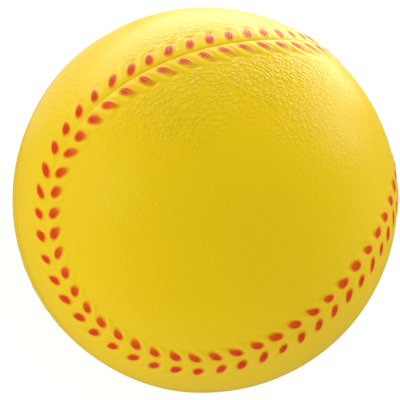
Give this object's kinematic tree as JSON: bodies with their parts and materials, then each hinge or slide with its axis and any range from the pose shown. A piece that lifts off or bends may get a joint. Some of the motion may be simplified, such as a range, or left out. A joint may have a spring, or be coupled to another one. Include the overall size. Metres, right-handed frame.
{
  "type": "soft baseball",
  "caption": "Soft moulded foam play ball in yellow with an imitation baseball seam: a groove between two rows of raised stitches dabbed with red paint.",
  "frame": {"origin": "centre of the ball", "axes": "+Z square to the mould's parting plane, which is the XY plane; X along the seam's long axis, with the narrow neck of the panel that covers both Z poles at +X"},
  "size_m": [0.0732, 0.0732, 0.0728],
  "materials": {
    "skin": "satin moulded polyurethane skin with a fine leather grain, the stitch tops painted red",
    "core": "matt flexible polyurethane foam"
  },
  "bodies": {
    "root": {"skin_half_upper": "skin", "skin_half_lower": "skin", "foam_core": "core"}
  },
  "joints": []
}
